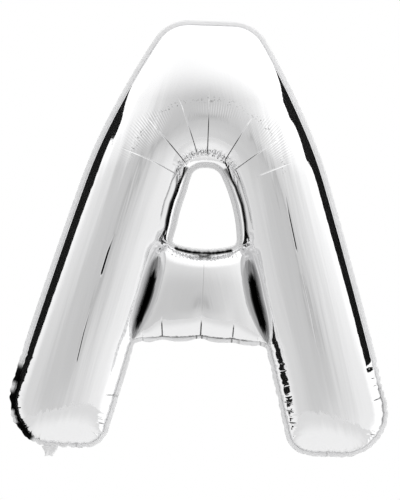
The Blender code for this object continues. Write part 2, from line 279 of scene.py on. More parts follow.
# The fine ripples in the material: in an arc over the counter, under it, and beside the pleats.
WANDER_SCALE = 22.0
RIPPLE_LENGTH = 0.0068
RIPPLE_HEIGHT = 0.0005
OVER_COUNTER = 0.560
ARC_DISTANCE = 0.020
ARC_WIDTH = 0.006
ARC_RIPPLE = 2.2
UNDER_COUNTER = 0.412
UNDER_HALF_WIDTH = 0.068
UNDER_REACH = 0.026
UNDER_RIPPLE = 0.8
PLEAT_RIPPLE = 0.6

# The comb of short ripples over the crown, about a centre above the origin, and an arc of dark specks painted
# as shade in fine crinkles.
COMB_CENTRE = 0.073
COMB_TEETH = 245.0
COMB_HEIGHT = 0.00016
COMB_FROM = 0.172
COMB_TO = 0.208
COMB_ENDS = 1.15
SPECK_RADIUS = 0.206
SPECK_BEND = 0.030
SPECK_WIDTH = 0.0045

# The seals, with their waves, lobes and dark ticks painted as shade in their pleats, and the black colour
# painted as shade on the ring under the counter.
SEAL_ROWS = 5
SEAL_FOIL = 0.0004
WAVE_LENGTH = 0.016
WAVE_HEIGHT = 0.0003
WAVE_GAIN = 0.45
LOBE_SHARE = 0.55
TICK_LENGTH = 0.0120
TICK_BLACK = (0.2, 0.8)
RING_PAINTED_SHADE_HALF_WIDTH = 0.058
RING_PAINTED_SHADE_SHARE = 0.42

# The neck, crumpled a little and narrower at its cut end.
NECK_ROWS = 10
NECK_COLUMNS = 13
NECK_PILLOW = 0.0010
NECK_CRUMPLE = 0.0012
NECK_NARROWS = 0.50

# The two sheets. Columns: name, side, the part's solid, how deep its creases are, seed.
SHEETS = (
    ("front_sheet", 1.0, "front_film", 1.0, 5),
    ("back_sheet", -1.0, "back_film", 0.6, 6),
)
# The two seals. Columns: name, the part's solid, finish.
SEALS = (
    ("outer_edge", "outer_seal", "sealed_foil"),
    ("counter_edge", "counter_seal", "sealed_ring"),
)

# The films' finishes. Columns: name, colour, roughness, height of the fine grain, height of the long streaks.
FINISHES = (
    ("foil", (0.93, 0.93, 0.935), 0.06, 0.00003, STREAK_HEIGHT),
    ("sealed_foil", (0.97, 0.97, 0.975), 0.60, 0.0003, 0.0),
    ("sealed_ring", (0.93, 0.93, 0.935), 0.35, 0.0001, 0.0),
    ("neck_film", (0.96, 0.96, 0.965), 0.50, 0.0003, 0.0),
)
# The black that the painted shade in creases, slots, seams, seals and specks mixes the films' colour to.
PAINTED_SHADE_BLACK = 0.006
CLOUD_SCALE = 9.0
GRAIN_SCALE = 240.0
SPECK_SCALE = 290.0

# How bright the studio is, all added up, by the angle from straight behind the camera, height or side.
# Columns: what it goes by, from, to, and the levels there.
STUDIO_LEVELS = (
    ("angle", 0.00, 0.14, 0.50, 0.61),
    ("angle", 0.10, 0.50, 0.00, 0.08),
    ("angle", 0.50, 1.20, 0.00, 0.12),
    ("angle", 1.30, 1.75, 0.00, 0.22),
    ("height", 0.12, 0.62, 0.00, 0.38),
    ("side", -0.70, 0.70, -0.09, 0.09),
)
STUDIO_TILT = 0.03

# The black flags seen in the letter's outer sides. Columns: name, side, lowest, highest. Edges: x and y.
FLAGS = (
    ("flag_left", -1.0, -0.60, 0.455),
    ("flag_right", 1.0, -0.20, 0.53),
)
FLAG_NEAR = (0.58, 0.03)
FLAG_FAR = (0.36, 0.42)
FLAG_BLACK = 0.01

# The pale floor, its colour painted a little darker at its edge as a fall-off of light, and the camera.
FLOOR_SIDES = 96
FLOOR_REACH = 2.0
FLOOR_HEIGHT = -1.5
FLOOR_MIDDLE = 0.75
FLOOR_EDGE = 0.61
FLOOR_SHADE = (0.7, 1.7)
CAMERA_DISTANCE = 4.0
CAMERA_ASIDE = (-0.007, -0.0152)
CAMERA_ROLL = 2.0
SENSOR_WIDTH = 36.0
VIEW_WIDTH = 0.8


def run_along(points):
    """How far along the polyline each of its points is."""
    return np.concatenate(([0.0], np.cumsum(np.hypot(*np.diff(points, axis=0).T))))


def at_lengths(points, run, lengths):
    """The points at these lengths along the polyline."""
    return np.column_stack([np.interp(lengths, run, points[:, axis]) for axis in (0, 1)])


def even_line(points, step):
    """The polyline with even steps."""
    run = run_along(points)
    return at_lengths(points, run, np.linspace(0.0, run[-1], max(2, int(round(run[-1] / step)) + 1)))


def away_from(points, x, height):
    """How far each point is from a place."""
    return np.hypot(points[:, 0] - x, points[:, 1] - height)


def nearest_index(loop, place):
    """The number of the loop's point that is nearest to a place."""
    return int(np.hypot(*(loop - place).T).argmin())


def bowed_side(start, end, bow):
    """Points from start to end along a flat arc that bulges to the left of the way by bow."""
    start = np.array(start)
    end = np.array(end)
    share = np.linspace(0.0, 1.0, SIDE_POINTS)[:, None]
    along = end - start
    left = np.array((-along[1], along[0])) / np.hypot(*along)
    return start + along * share + left * bow * 4.0 * share * (1.0 - share)


def trimmed(points, from_start, from_end):
    """The polyline without its first and last stretch of the given lengths."""
    run = run_along(points)
    return at_lengths(points, run, np.linspace(from_start, run[-1] - from_end, len(points)))


def corner_round(before, after):
    """A round from the end of one side to the start of the next, close to a circle's arc."""
    start = before[-1]
    end = after[0]
    way_in = before[-1] - before[-2]
    way_out = after[1] - after[0]
    way_in /= np.hypot(*way_in)
    way_out /= np.hypot(*way_out)
    turn = math.acos(float(np.clip(way_in @ way_out, -1.0, 1.0)))
    radius = np.hypot(*(end - start)) / (2.0 * math.sin(turn / 2.0))
    handle = 4.0 / 3.0 * math.tan(turn / 4.0) * radius
    share = np.linspace(0.0, 1.0, ROUND_POINTS)[1:-1, None]
    rest = 1.0 - share
    return (
        rest**3 * start
        + 3.0 * rest**2 * share * (start + way_in * handle)
        + 3.0 * rest * share**2 * (end - way_out * handle)
        + share**3 * end
    )


def half_outline(top, corners, bottom):
    """One half of a closed outline, as a fine polyline from top to bottom."""
    places = [top] + [row[:2] for row in corners] + [bottom]
    reaches = [0.0] + [row[2] for row in corners] + [0.0]
    bows = [0.0] + [row[3] for row in corners]
    sides = []
    for index, bow in enumerate(bows):
        side = bowed_side(places[index], places[index + 1], bow)
        sides.append(trimmed(side, reaches[index], reaches[index + 1]))
    points = [sides[0]]
    for before, after in zip(sides, sides[1:]):
        points.append(corner_round(before, after))
        points.append(after)
    return np.concatenate(points)


def closed_outline(half, step):
    """The whole outline with evenly spaced points, clockwise as the letter is read."""
    right = even_line(half, step)
    return np.concatenate((right, right[-2:0:-1] * (-1.0, 1.0)))


def inside(points, loop):
    """Whether each point is inside the loop, by counting crossings."""
    found = np.zeros(len(points), bool)
    ahead = np.roll(loop, -1, axis=0)
    for (x0, z0), (x1, z1) in zip(loop, ahead):
        if z0 == z1:
            continue
        spans = (z0 > points[:, 1]) != (z1 > points[:, 1])
        crossing = x0 + (points[:, 1] - z0) * (x1 - x0) / (z1 - z0)
        found ^= spans & (points[:, 0] < crossing)
    return found


def distance_to(points, line, closed=True):
    """The distance from each point to the nearest side of a loop or an open line."""
    nearest = np.full(len(points), np.inf)
    ahead = np.roll(line, -1, axis=0)
    count = len(line) if closed else len(line) - 1
    for start, end in zip(line[:count], ahead[:count]):
        along = end - start
        share = np.clip((points - start) @ along / (along @ along), 0.0, 1.0)
        offset = points - start - share[:, None] * along
        nearest = np.minimum(nearest, np.hypot(*offset.T))
    return nearest


def off_seams(points, outer, inner):
    """The distance from each point to the nearer one of the seams."""
    return np.minimum(distance_to(points, outer), distance_to(points, inner))


def lattice(lowest, highest, step):
    """An even triangular lattice over a box, the same on both sides of X = 0."""
    row_step = step * math.sqrt(3.0) / 2.0
    rows = []
    for row, height in enumerate(np.arange(lowest[1], highest[1], row_step)):
        shift = 0.5 * step * (row % 2)
        across = np.arange(shift, highest[0], step)
        across = np.concatenate((-across[::-1], across[across > 0.0]))
        rows.append(np.column_stack((across, np.full(len(across), height))))
    return np.concatenate(rows)


def outward(loop):
    """The unit normal at each point of a clockwise loop, out of what it encloses."""
    along = np.roll(loop, -1, axis=0) - np.roll(loop, 1, axis=0)
    normal = np.column_stack((-along[:, 1], along[:, 0]))
    return normal / np.hypot(*normal.T)[:, None]


def beside(line, offset):
    """Points at an offset on both sides of an open line."""
    along = np.gradient(line, axis=0)
    across = np.column_stack((-along[:, 1], along[:, 0])) / np.hypot(*along.T)[:, None]
    return np.concatenate((line + across * offset, line - across * offset))


def flat_mesh(outer, inner, valleys, creases):
    """The film's plan along its lines: points, triangles, and the rings and valleys as point numbers."""
    lines = valleys + [line for line, _ in creases]

    def clearance(points, others):
        nearest = off_seams(points, outer, inner)
        for line in others:
            nearest = np.minimum(nearest, distance_to(points, line, closed=False))
        return nearest

    def allowed(points):
        return points[inside(points, outer) & ~inside(points, inner)]

    held = [outer, inner] + [line[1:-1] for line in valleys]
    rows = []
    for line, width in creases:
        line = allowed(line)
        kept = clearance(line, valleys) > width
        if kept.sum() < 2:
            continue
        rows.append(line[kept])
        for share in CREASE_ROWS:
            row = allowed(beside(line[kept], share * width))
            rows.append(row[clearance(row, lines) > ROW_CLEARANCE * share * width])
    for angle in ROW_ANGLES:
        depth = TUBE_RADIUS * (1.0 - math.cos(math.radians(angle)))
        row = [outer - outward(outer) * depth, inner + outward(inner) * depth]
        row += [beside(line, depth) for line in valleys]
        row = allowed(np.concatenate(row))
        rows.append(row[clearance(row, lines) > ROW_CLEARANCE * depth])
    field = allowed(lattice(outer.min(axis=0), outer.max(axis=0), LATTICE_STEP))
    free = clearance(field, valleys) > depth + LATTICE_CLEARANCE * LATTICE_STEP
    free &= clearance(field, lines) > LATTICE_CLEARANCE * LATTICE_STEP
    points = np.concatenate(held + rows + [field[free]])
    start = len(outer) + len(inner)
    rings = [np.arange(len(outer)), np.arange(len(outer), start)]
    edges = [pair for ring in rings for pair in zip(ring.tolist(), np.roll(ring, -1).tolist())]
    chains = []
    for line in valleys:
        first = len(outer) + nearest_index(inner, line[0])
        last = nearest_index(outer, line[-1])
        chain = np.array([first] + list(range(start, start + len(line) - 2)) + [last])
        edges += list(zip(chain[:-1].tolist(), chain[1:].tolist()))
        chains.append(chain)
        start += len(line) - 2
    made = delaunay_2d_cdt([Vector(point) for point in points], edges, [], 0, 1e-7)
    places = np.array([tuple(point) for point in made[0]])
    faces = np.array([tuple(face) for face in made[2]])
    middles = places[faces].mean(axis=1)
    faces = faces[inside(middles, outer) & ~inside(middles, inner)]
    corners = places[faces]
    first = corners[:, 1] - corners[:, 0]
    second = corners[:, 2] - corners[:, 0]
    turned = first[:, 0] * second[:, 1] - first[:, 1] * second[:, 0] < 0.0
    faces[turned] = faces[turned][:, ::-1]
    return places, faces, rings, chains


def edges_of(faces):
    """The mesh's edges, and the numbers of each face's three edges."""
    pairs = np.concatenate((faces[:, [0, 1]], faces[:, [1, 2]], faces[:, [2, 0]]))
    pairs.sort(axis=1)
    edges, index = np.unique(pairs, axis=0, return_inverse=True)
    return edges, index.reshape(3, -1).T


def split(arrays, faces, rings, chains):
    """Four triangles from each, with new points in the middles of the edges."""
    edges, face_edges = edges_of(faces)
    count = len(arrays[0])
    finer = [np.concatenate((values, 0.5 * (values[edges[:, 0]] + values[edges[:, 1]]))) for values in arrays]
    a, b, c = faces.T
    ab, bc, ca = (face_edges + count).T
    faces = np.concatenate((np.column_stack((a, ab, ca)), np.column_stack((ab, b, bc)),
                            np.column_stack((ca, bc, c)), np.column_stack((ab, bc, ca))))
    lookup = {tuple(edge): count + index for index, edge in enumerate(edges.tolist())}

    def halved(chain, closed):
        after = np.roll(chain, -1)
        longer = []
        for here, ahead in zip(chain.tolist(), after.tolist()):
            longer += [here, lookup.get((min(here, ahead), max(here, ahead)), -1)]
        return np.array(longer if closed else longer[:-1])

    return finer, faces, [halved(ring, True) for ring in rings], [halved(chain, False) for chain in chains]


def membrane(places, faces, held, edge_sags):
    """The sag of a membrane over the plan, held at some points, by conjugate gradients."""
    corners = places[faces]
    first = []
    second = []
    weights = []
    load = np.zeros(len(places))
    for turn in range(3):
        tip, left, right = (faces[:, (turn + step) % 3] for step in range(3))
        to_left = corners[:, (turn + 1) % 3] - corners[:, turn]
        to_right = corners[:, (turn + 2) % 3] - corners[:, turn]
        twice_area = np.abs(to_left[:, 0] * to_right[:, 1] - to_left[:, 1] * to_right[:, 0]) + 1e-15
        first += [left, right]
        second += [right, left]
        weights += [0.5 * (to_left * to_right).sum(axis=1) / twice_area] * 2
        load += np.bincount(tip, twice_area / 3.0, len(places))
    first, second, weights = (np.concatenate(parts) for parts in (first, second, weights))
    diagonal = np.bincount(first, weights, len(places))
    free = np.ones(len(places))
    free[held] = 0.0

    def pulled(values):
        return free * (diagonal * values - np.bincount(first, weights * values[second], len(places)))

    sag = np.zeros(len(places))
    sag[held] = edge_sags
    rest = free * load - pulled(sag)
    scale = np.where(free > 0.0, 1.0 / np.maximum(diagonal, 1e-12), 0.0)
    way = scale * rest
    power = rest @ way
    start_power = power
    for _ in range(SOLVER_STEPS):
        answer = pulled(way)
        share = power / (way @ answer)
        sag += share * way
        rest -= share * answer
        eased = scale * rest
        new_power = rest @ eased
        if new_power < SOLVER_END**2 * start_power:
            break
        way = eased + new_power / power * way
        power = new_power
    return np.maximum(sag, 0.0)


def smooth_step(values):
    """0 below 0, 1 above 1 and a smooth way between."""
    share = np.clip(values, 0.0, 1.0)
    return share * share * (3.0 - 2.0 * share)


def rounding(distance, reach):
    """0 at an edge and 1 beyond its reach, with a quarter round between."""
    return np.sqrt(1.0 - (1.0 - np.clip(distance / reach, 0.0, 1.0)) ** 2)


def fullness(heights):
    """The film's depth against that of half circles, by height."""
    crown = smooth_step((heights - CROWN_START) / (CROWN_END - CROWN_START))
    return LEG_FULLNESS + (CROWN_FULLNESS - LEG_FULLNESS) * crown


def valley_floors(chain):
    """How far a valley stands off the seals' plane along its line."""
    share = np.linspace(0.0, 1.0, len(chain))
    return VALLEY_FLOOR * np.sqrt(4.0 * share * (1.0 - share))


def film_depth(places, sag, rings, chains, outer, inner, valleys):
    """How far the film stands off the seals' plane, and how black the slots beside the crossbar are painted
    as shade.
    """
    depth = fullness(places[:, 1]) * np.sqrt(np.maximum(sag, 0.0))
    line = valleys[0]
    edge = np.interp(places[:, 1], line[::-1, 1], line[::-1, 0])
    crossbar = np.flatnonzero((np.abs(places[:, 0]) < edge) & (places[:, 1] < line[0, 1]))
    there = places[crossbar]
    from_valley = np.minimum(*(distance_to(there, line, closed=False) for line in valleys))
    panel = (CROSSBAR_DEPTH * rounding(distance_to(there, inner), CROSSBAR_TOP_ROUND)
             * rounding(distance_to(there, outer), CROSSBAR_BOTTOM_ROUND))
    pinch = np.zeros(len(there))
    for x in CROSSBAR_PINCHES:
        pinch = np.maximum(pinch, np.exp(-((there[:, 0] - x) / PINCH_WIDTH) ** 2))
    panel *= 1.0 - PINCH_SHARE * pinch * np.exp(-distance_to(there, outer) / PINCH_REACH)
    across, along = CROSSBAR_DOME
    dome = across * there[:, 0] ** 2 + along * (there[:, 1] - CROSSBAR_MIDDLE) ** 2
    panel -= dome * panel / CROSSBAR_DEPTH
    floor = np.minimum(VALLEY_FLOOR, panel)
    depth[crossbar] = floor + (panel - floor) * rounding(from_valley, CROSSBAR_SIDE_ROUND)
    for chain in chains:
        depth[chain] = valley_floors(chain)
    black = np.zeros(len(places))
    opens, opening, closes, closing = SLOT_OPENS
    shade_opens, shade_opening = SLOT_SHADE_OPENS
    for side, line in zip((1.0, -1.0), valleys):
        beside_bar = (places[:, 1] < line[0, 1]) & (places[:, 1] > line[-1, 1])
        near = np.flatnonzero((places[:, 0] * side > 0.05) & beside_bar)
        off = distance_to(places[near], line, closed=False)
        share = np.clip((line[0, 1] - places[near, 1]) / (line[0, 1] - line[-1, 1]), 0.0, 1.0)
        wide = np.sqrt(np.clip(4.0 * share * (1.0 - share), SLOT_ENDS, 1.0))
        depth[near] *= 1.0 - SLOT_SHARE * np.exp(-(off / (SLOT_WIDTH * wide)) ** 2)
        # The slot's black core and the grey round it are painted shade.
        almond = SLOT_BLACK * smooth_step((share - opens) / opening) * smooth_step((closes - share) / closing)
        core = np.exp(-np.maximum(off - almond, 0.0) / SLOT_FADE) * smooth_step(almond / SLOT_LEAST_CORE)
        at_bar = np.abs(places[near, 0]) < np.interp(places[near, 1], line[::-1, 1], np.abs(line[::-1, 0]))
        reach = np.where(at_bar, SLOT_SHADE_BAR, SLOT_SHADE_LEG) * wide
        reach = reach * smooth_step((share - shade_opens) / shade_opening)
        shade = SLOT_SHADE * smooth_step((reach - off) / (0.5 * reach + 0.001))
        black[near] = np.maximum(core, shade)
    for ring in rings:
        depth[ring] = 0.0
    return depth, black


def blurred(values, ring_length, reach):
    """The values round a closed ring, smoothed over a reach along it."""
    count = len(values)
    frequency = np.fft.rfftfreq(count, 1.0 / count)
    keep = np.exp(-0.5 * (2.0 * math.pi * frequency * reach / ring_length) ** 2)
    if values.ndim == 2:
        keep = keep[:, None]
    return np.fft.irfft(np.fft.rfft(values, axis=0) * keep, count, axis=0)


def loop_length(loop):
    """The length round a closed loop."""
    return float(np.hypot(*(np.roll(loop, -1, axis=0) - loop).T).sum())


def pleats(seam, seed):
    """The irregular pleats along a seam. Columns: how far they draw it in, how deep they are in the film."""
    rng = np.random.default_rng(seed)
    run = run_along(seam)
    length = loop_length(seam)
    drawn = np.zeros((len(seam), 2))
    for x, height, reach, inward, deep in PUCKERS:
        strength = smooth_step((1.0 - away_from(seam, x, height) / reach) / PUCKER_FADE)
        drawn = np.maximum(drawn, strength[:, None] * (inward, deep))
    wave = np.zeros(len(seam))
    place = 0.0
    while place < length:
        width = PLEAT_WIDTH * rng.uniform(*PLEAT_WIDTHS)
        strength = rng.uniform(*PLEAT_STRENGTHS)
        off = (run - place + 0.5 * length) % length - 0.5 * length
        wave = np.maximum(wave, strength * np.exp(-(off / width) ** 2))
        place += rng.uniform(*PLEAT_SPACING)
    drawn *= wave[:, None]
    for x, height, reach, inward in NOTCHES:
        drawn[:, 0] = np.maximum(drawn[:, 0], inward * np.exp(-away_from(seam, x, height) / reach))
    return drawn


def nearest_seam(plan, seams):
    """For each point the nearest point of the seams, as its number, and how far off it is."""
    seam = np.concatenate(seams)
    nearest = np.zeros(len(plan), int)
    gap = np.zeros(len(plan))
    for start in range(0, len(plan), 4000):
        part = slice(start, start + 4000)
        away = np.hypot(plan[part, None, 0] - seam[None, :, 0], plan[part, None, 1] - seam[None, :, 1])
        nearest[part] = away.argmin(axis=1)
        gap[part] = away.min(axis=1)
    return nearest, gap


def painted_seam_shade(plan, gap, run):
    """How black the film is painted beside the seams, as shade of folds the mesh doesn't have, at each point.
    """
    black = np.zeros(len(plan))
    long, longer, short = JAG_WAVES
    jag = np.sin(run / long) * np.sin(run / longer + 1.0) + 0.5 * np.sin(run / short)
    for x, height, reach, width, darkness in SEAM_PAINTED_SHADE:
        here = smooth_step((1.0 - away_from(plan, x, height) / reach) / PAINTED_SHADE_ENDS)
        tooth = np.maximum(0.0, np.sin(run / TOOTH_WAVE)) if darkness > TOOTH_BLACK else 0.0
        within = smooth_step((width + JAG_DEPTH * jag + TOOTH_DEPTH * tooth - gap) / PAINTED_SHADE_EDGE)
        black = np.maximum(black, darkness * here * within)
    return black


def mesh_piece(name, points, faces, material):
    """A mesh object of the scene with smooth faces."""
    mesh = bpy.data.meshes.new(name)
    mesh.from_pydata(np.asarray(points, float).tolist(), [], np.asarray(faces).tolist())
    mesh.shade_smooth()
    mesh.materials.append(material)
    piece = bpy.data.objects.new(name, mesh)
    bpy.context.scene.collection.objects.link(piece)
    return piece


def mark(piece, label, values):
    """Keeps a value for each point on the mesh, where the material reads it."""
    attribute = piece.data.attributes.new(label, "FLOAT", "POINT")
    attribute.data.foreach_set("value", values.astype(np.float32))


def point_normals(points, faces):
    """The outward unit normal at each point."""
    corners = points[faces]
    across = np.cross(corners[:, 1] - corners[:, 0], corners[:, 2] - corners[:, 0])
    normals = np.zeros_like(points)
    for corner in range(3):
        for axis in range(3):
            normals[:, axis] += np.bincount(faces[:, corner], across[:, axis], len(points))
    normals /= np.linalg.norm(normals, axis=1)[:, None] + 1e-12
    return normals * np.sign(-normals[:, 1].sum())


def streaks(plan, gap, seed):
    """How high the long soft streaks down the legs stand at each point."""
    rng = np.random.default_rng(seed)
    lean = math.radians(LEG_LEAN)
    across = np.abs(plan[:, 0]) * math.cos(lean) + plan[:, 1] * math.sin(lean)
    along = -np.abs(plan[:, 0]) * math.sin(lean) + plan[:, 1] * math.cos(lean)
    side = np.where(plan[:, 0] < 0.0, 0.0, RIGHT_PHASE)
    legs = smooth_step((np.abs(plan[:, 0]) - STREAK_START) / 0.060) * smooth_step(gap / STREAK_EDGE)
    upper = 0.7 + 1.3 * smooth_step((plan[:, 1] - 0.42) / 0.20) * smooth_step((0.70 - plan[:, 1]) / 0.06)
    lift = np.zeros(len(plan))
    for width, height in STREAKS:
        for _ in range(STREAK_WAVES):
            first, second, third, fourth = rng.uniform(0.0, 2.0 * math.pi, 4)
            scale = rng.uniform(*STREAK_WIDTHS)
            drift = 1.6 * np.sin(along / 0.23 + first + side) + 0.7 * np.sin(along / 0.10 + second + side)
            swell = np.clip(0.30 + 0.70 * np.sin(along / 0.15 + across / 0.04 + third + side), 0.0, 1.0)
            turn = across / (scale * width) * 2.0 * math.pi + drift + fourth + side
            lift += 0.5 * height * np.sin(turn) * swell
    return lift * legs * upper


def crease_lift(plan, creases):
    """How deep the film is creased at each point, and how black its colour is painted there as shade in the
    crease.
    """
    lift = np.zeros(len(plan))
    black = np.zeros(len(plan))
    for (line, width), (_, depth, _, fade_in, fade_out, darkness, dark_share) in zip(creases, CREASES):
        low = line.min(axis=0) - 3.0 * width
        high = line.max(axis=0) + 3.0 * width
        near = np.flatnonzero(np.all((plan > low) & (plan < high), axis=1))
        away = distance_to(plan[near], line, closed=False)
        way = line[-1] - line[0]
        share = (plan[near] - line[0]) @ way / (way @ way)
        fade = np.minimum(smooth_step(share / fade_in), smooth_step((1.0 - share) / fade_out))
        across = np.clip(1.0 - away / width, 0.0, 1.0)
        lift[near] -= depth * fade * across
        # The crease's colour is painted black here as shade in the crease.
        if dark_share < 1.0:
            fade = fade * smooth_step((dark_share - share) / (BLACK_FADE * dark_share))
        shade = darkness * np.minimum(fade * BLACK_ALONG, 1.0) * np.minimum(across * BLACK_ACROSS, 1.0)
        black[near] = np.maximum(black[near], shade)
    return lift, black


def sheet_points(space, plan, faces, gap, pleat, creased, seed):
    """The film with its streaks, pleats and creases."""
    lift = streaks(plan, gap, seed) - pleat * np.exp(-gap / PLEAT_REACH) + creased
    wide, tall = KNOT_WAVES
    for x, height, reach, high in KNOTS:
        away = away_from(plan, x, height)
        crumple = np.sin(plan[:, 0] / wide + 1.0) * np.sin(plan[:, 1] / tall) + 0.8
        lift += high * crumple * np.exp(-(away / reach) ** 2)
    lift *= 1.0 - np.exp(-gap / LIFT_FADE)
    return space + point_normals(space, faces) * lift[:, None]


def seal_strip(name, seam, way, drawn, run, material, seed):
    """The flat welded band along a seam, waved where the seam is puckered."""
    rng = np.random.default_rng(seed)
    length = loop_length(seam)
    count = len(seam)
    drift = blurred(rng.normal(0.0, 1.0, (count, 2)), length, 0.02)
    drift /= np.abs(drift).max(axis=0)
    wave = np.sin(run / WAVE_LENGTH * 2.0 * math.pi + 4.0 * drift[:, 0])
    height = (WAVE_HEIGHT + WAVE_GAIN * drawn) * wave * (0.6 + 0.4 * drift[:, 1])
    lobes = 1.0 - LOBE_SHARE * smooth_step((drawn - 0.0002) / 0.0010) * smooth_step(0.5 + 0.9 * drift[:, 1])
    rows = []
    for share in np.linspace(0.0, 1.0, SEAL_ROWS):
        plan = seam + way * (SEAL_WIDTH * share * blurred(lobes, length, 0.004))[:, None]
        rows.append(np.column_stack((plan[:, 0], height * share**1.5, plan[:, 1] - LIFT_HEIGHT)))
    half = (0.0, 0.5 * SEAL_FOIL, 0.0)
    layers = [row - half for row in rows] + [row + half for row in rows[::-1]]
    here = np.arange(len(layers) * count).reshape(-1, count)
    above = np.roll(here, -1, axis=0)
    corners = (here, np.roll(here, -1, axis=1), np.roll(above, -1, axis=1), above)
    faces = np.stack(corners, axis=-1).reshape(-1, 4)
    if (way * (seam - seam.mean(axis=0))).sum() > 0.0:
        faces = faces[:, ::-1]
    piece = mesh_piece(name, np.concatenate(layers), faces, material)
    # Dark ticks painted as shade in the seal's pleats, where the seam is puckered.
    ticks = smooth_step((np.sin(run / TICK_LENGTH * 2.0 * math.pi + 14.0 * drift[:, 1]) - 0.80) / 0.15)
    ticks *= smooth_step((drift[:, 0] - 0.05) / 0.25)
    marks = np.clip(ticks * smooth_step((drawn - 0.0004) / 0.0008), 0.0, 1.0)
    from_seam = np.linspace(0.0, 1.0, SEAL_ROWS)
    shares = np.concatenate((from_seam, from_seam[::-1]))
    values = np.concatenate([marks * TICK_BLACK[int(share > 0.0)] for share in shares])
    # Black painted as shade on the outer seal by the left foot, and on the ring's outer part under the
    # counter.
    if name == "outer_edge":
        for x, z, reach, darkness in SEAL_PAINTED_SHADE:
            here = darkness * smooth_step((1.0 - away_from(seam, x, z) / reach) / 0.2)
            here *= smooth_step((0.75 - drift[:, 0]) / 0.2)
            values = np.maximum(values, np.tile(here, len(shares)))
    else:
        below = (np.abs(seam[:, 0]) < RING_PAINTED_SHADE_HALF_WIDTH) & (seam[:, 1] < UNDER_COUNTER)
        under = np.concatenate([np.where(below, 1.0 - share, 0.0) for share in shares])
        jag = np.tile(0.12 * np.sin(run / 0.0021) * np.sin(run / 0.0053), len(shares))
        values = np.maximum(values, smooth_step((under - RING_PAINTED_SHADE_SHARE + jag) / 0.35))
    mark(piece, "painted_shade", values)
    return piece


def neck_tongue(name, box, material):
    """The flat inflation neck: two films welded along their sides, narrowing to a cut end."""
    low, high = box
    middle = 0.5 * (low[0] + high[0])
    half = 0.5 * (high[0] - low[0])
    points = []
    for side in (-1.0, 1.0):
        for along in np.linspace(0.0, 1.0, NECK_ROWS):
            width = half * (1.0 - NECK_NARROWS * smooth_step(along * 1.1))
            for across in np.linspace(-1.0, 1.0, NECK_COLUMNS):
                pillow = NECK_PILLOW * math.sqrt(max(0.0, 1.0 - across * across)) * (1.0 - along)
                crumple = NECK_CRUMPLE * math.sin(5.0 * across + 3.0 * along) * along
                x = middle + across * width + 0.0012 * math.sin(4.0 * along)
                z = high[2] + (low[2] - high[2]) * along + 0.0011 * math.sin(3.5 * across + 1.0) * along
                points.append((x, side * (0.00015 + pillow) + crumple, z))
    grid = np.arange(NECK_ROWS * NECK_COLUMNS).reshape(NECK_ROWS, NECK_COLUMNS)
    quads = np.stack((grid[:-1, :-1], grid[1:, :-1], grid[1:, 1:], grid[:-1, 1:]), axis=-1).reshape(-1, 4)
    rim = np.concatenate((grid[0], grid[1:, -1], grid[-1, -2::-1], grid[-2:0:-1, 0]))
    after = np.roll(rim, -1)
    sides = np.column_stack((rim, after, after + grid.size, rim + grid.size))
    faces = np.concatenate((quads, quads[:, ::-1] + grid.size, sides))
    return mesh_piece(name, points, faces, material)


class Graph:
    """Short calls for the nodes of a material or the world."""

    def __init__(self, tree):
        self.nodes = tree.nodes
        self.links = tree.links

    def feed(self, socket, value):
        if isinstance(value, bpy.types.NodeSocket):
            self.links.new(value, socket)
        else:
            socket.default_value = value

    def math(self, operation, *values):
        node = self.nodes.new("ShaderNodeMath")
        node.operation = operation
        for socket, value in zip(node.inputs, values):
            self.feed(socket, value)
        return node.outputs[0]

    def times(self, first, second):
        return self.math("MULTIPLY", first, second)

    def plus(self, first, second):
        return self.math("ADD", first, second)

    def ramp(self, *values):
        node = self.nodes.new("ShaderNodeMapRange")
        node.interpolation_type = "SMOOTHSTEP"
        for name, value in zip(("Value", "From Min", "From Max", "To Min", "To Max"), values):
            self.feed(node.inputs[name], value)
        return node.outputs[0]

    def mix(self, share, first, second, kind="RGBA"):
        node = self.nodes.new("ShaderNodeMix")
        node.data_type = kind
        for name, value in (("Factor", share), ("A", first), ("B", second)):
            self.feed(node.inputs[name], value)
        return node.outputs["Result"]

    def places(self, kind="Object"):
        return self.nodes.new("ShaderNodeTexCoord").outputs[kind]

    def axes(self, vector):
        node = self.nodes.new("ShaderNodeSeparateXYZ")
        self.links.new(vector, node.inputs[0])
        return tuple(node.outputs)

    def noise(self, where, scale, detail):
        node = self.nodes.new("ShaderNodeTexNoise")
        node.inputs["Scale"].default_value = scale
        node.inputs["Detail"].default_value = detail
        self.links.new(where, node.inputs["Vector"])
        return node.outputs["Fac"]

    def attribute(self, name):
        node = self.nodes.new("ShaderNodeAttribute")
        node.attribute_name = name
        return node.outputs["Fac"]

    def bump(self, height, distance, normal=None):
        node = self.nodes.new("ShaderNodeBump")
        node.inputs["Strength"].default_value = 1.0
        node.inputs["Distance"].default_value = distance
        self.links.new(height, node.inputs["Height"])
        if normal is not None:
            self.links.new(normal, node.inputs["Normal"])
        return node.outputs["Normal"]


def grey(level):
    """A grey colour of this brightness."""
    return (level, level, level, 1.0)


def material_graph(name):
    """A new material, with the short calls for its nodes."""
    material = bpy.data.materials.new(name)
    material.use_nodes = True
    graph = Graph(material.node_tree)
    graph.material = material
    graph.shader = graph.nodes["Principled BSDF"]
    return graph


